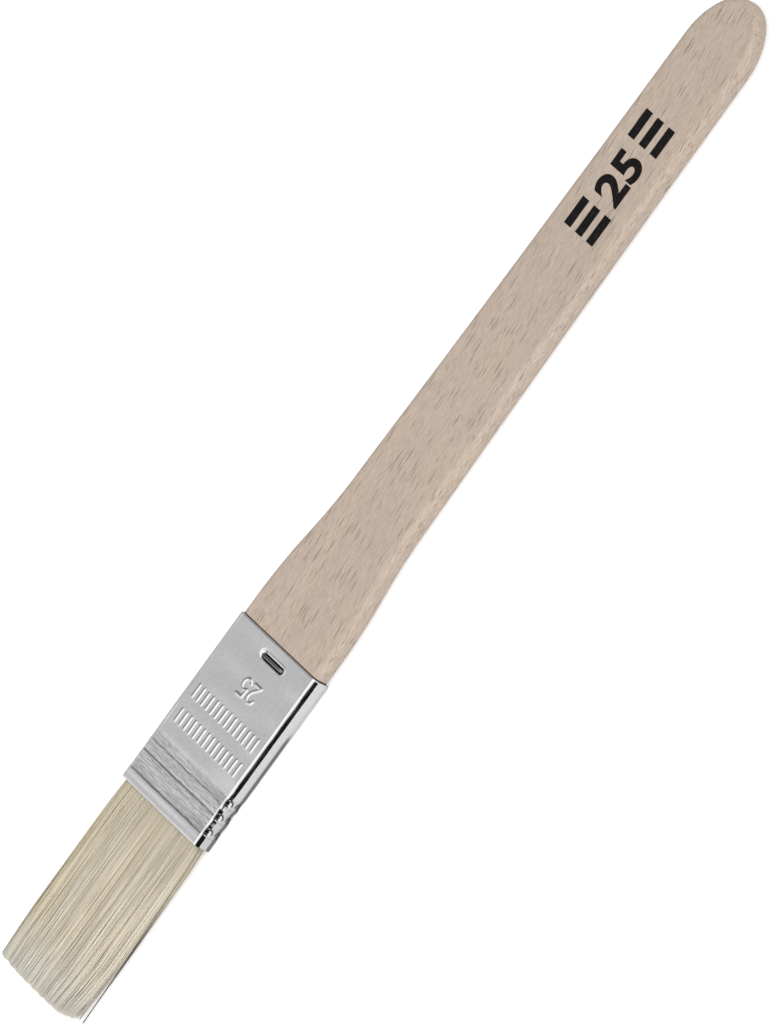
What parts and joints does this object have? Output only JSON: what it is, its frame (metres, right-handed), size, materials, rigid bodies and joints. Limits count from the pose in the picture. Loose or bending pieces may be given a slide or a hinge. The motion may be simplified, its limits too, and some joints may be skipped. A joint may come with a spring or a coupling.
{
  "type": "flat pastry brush",
  "caption": "Flat pastry brush with a long beech handle, a crimped sheet-metal ferrule and a tuft of natural bristle.",
  "frame": {"origin": "middle of the brush's footprint, on the plane that its back rests on", "axes": "+X along the brush towards the end of the handle, +Y across its width, +Z out of its front face"},
  "size_m": [0.24, 0.0262, 0.005],
  "materials": {
    "beech": "plain sanded beech",
    "tinplate": "tinned sheet steel",
    "staple_wire": "tinned wire",
    "bristle": "bleached natural bristle",
    "strip_wood": "sawn softwood",
    "resin": "set resin"
  },
  "bodies": {
    "root": {"handle": "beech", "ferrule": "tinplate", "front_staple": "staple_wire", "rear_staple": "staple_wire", "front_bristles": "bristle", "rear_bristles": "bristle", "filler_strip": "strip_wood", "bristle_setting": "resin"}
  },
  "joints": []
}
